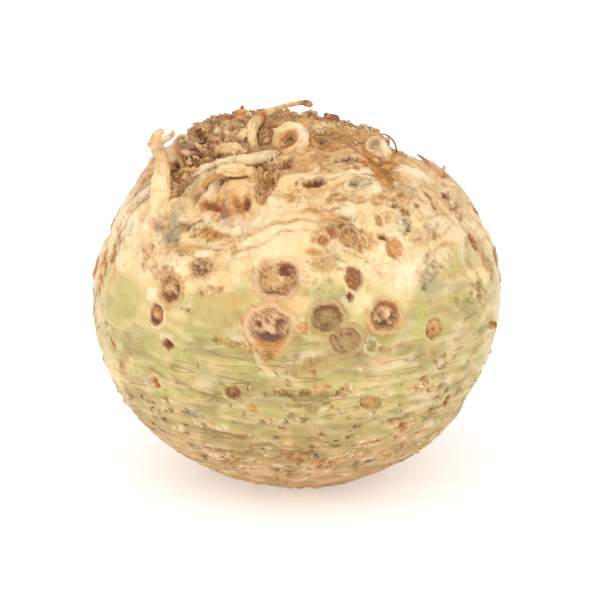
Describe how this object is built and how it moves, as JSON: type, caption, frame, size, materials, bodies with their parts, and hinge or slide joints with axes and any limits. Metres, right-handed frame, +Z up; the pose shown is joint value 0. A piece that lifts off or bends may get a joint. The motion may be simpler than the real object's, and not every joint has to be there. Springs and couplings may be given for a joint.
{
  "type": "celeriac root",
  "caption": "Trimmed celeriac, a swollen celery root with cut root scars, ring grooves and a rough fibrous root end; rests on its flat cut crown.",
  "frame": {"origin": "centre of the flat trimmed crown that the root rests on", "axes": "+Z up, towards the rough root end; -Y is the side seen in the picture; +X is the picture's right"},
  "size_m": [0.1235, 0.1212, 0.1164],
  "materials": {
    "celeriac_skin": "matte",
    "pale_root": "matte",
    "brown_root": "matte",
    "pink_peel": "matte"
  },
  "bodies": {
    "root": {"swollen_root": "celeriac_skin", "long_arched_root": "pale_root", "forked_root": "pale_root", "folded_torn_root": "pale_root", "crossing_root": "pale_root", "curled_rootlet": "pale_root", "brown_root_stump": "brown_root", "wiry_rootlet": "brown_root", "round_cut_stub": "pale_root", "peeled_shard_large": "pink_peel", "peeled_shard_small": "pink_peel", "right_side_stub": "brown_root", "top_cut_stub": "pale_root", "back_thick_root": "pale_root", "back_hooked_rootlet": "brown_root", "back_cut_stub": "pale_root"}
  },
  "joints": []
}
